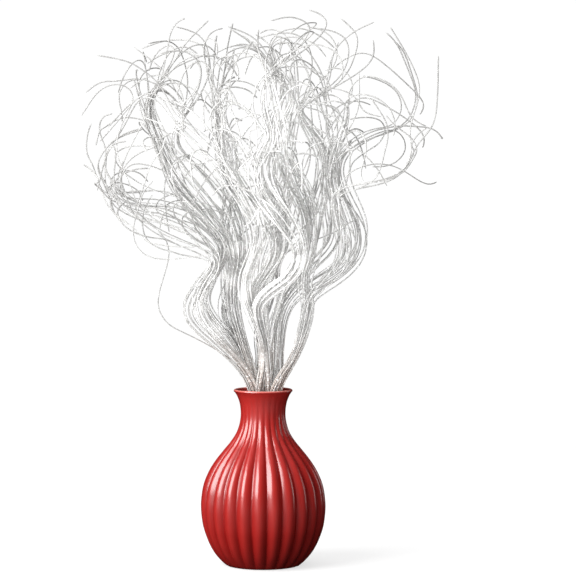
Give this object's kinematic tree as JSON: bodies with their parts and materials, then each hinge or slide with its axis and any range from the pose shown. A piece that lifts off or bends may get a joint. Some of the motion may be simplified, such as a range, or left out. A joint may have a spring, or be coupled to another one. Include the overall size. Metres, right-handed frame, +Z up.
{
  "type": "vase of curly dried stems",
  "caption": "Round ribbed ceramic vase with a waisted neck and flared mouth, holding a tall airy spray of long wavy stems that end in loose curls.",
  "frame": {"origin": "centre of the flat foot, on the surface that the vase stands on", "axes": "+Z up along the axis of the vase, -Y towards the front, +X to the viewer's right"},
  "size_m": [0.409, 0.2741, 0.6256],
  "materials": {
    "glaze": "deep red satin glaze",
    "stem": "dried stem coated in silver-white glitter"
  },
  "bodies": {
    "root": {"vase": "glaze", "stems_left_sweep": "stem", "stems_left_stray": "stem", "stems_left_mane": "stem", "stems_left_outer": "stem", "stems_left_fan": "stem", "stems_left_centre": "stem", "stems_inner_wave": "stem", "stems_middle_wave": "stem", "stems_right_wave": "stem", "stems_centre": "stem", "stems_right_loop": "stem", "stems_right_stream": "stem", "stems_right_branch": "stem", "stems_right_lobe": "stem", "stems_right_crown": "stem", "stems_right_far": "stem", "stems_back_sweep": "stem", "stems_front_outer": "stem", "stems_back_lobe": "stem", "stems_back_mane": "stem", "stems_back_far": "stem"}
  },
  "joints": []
}
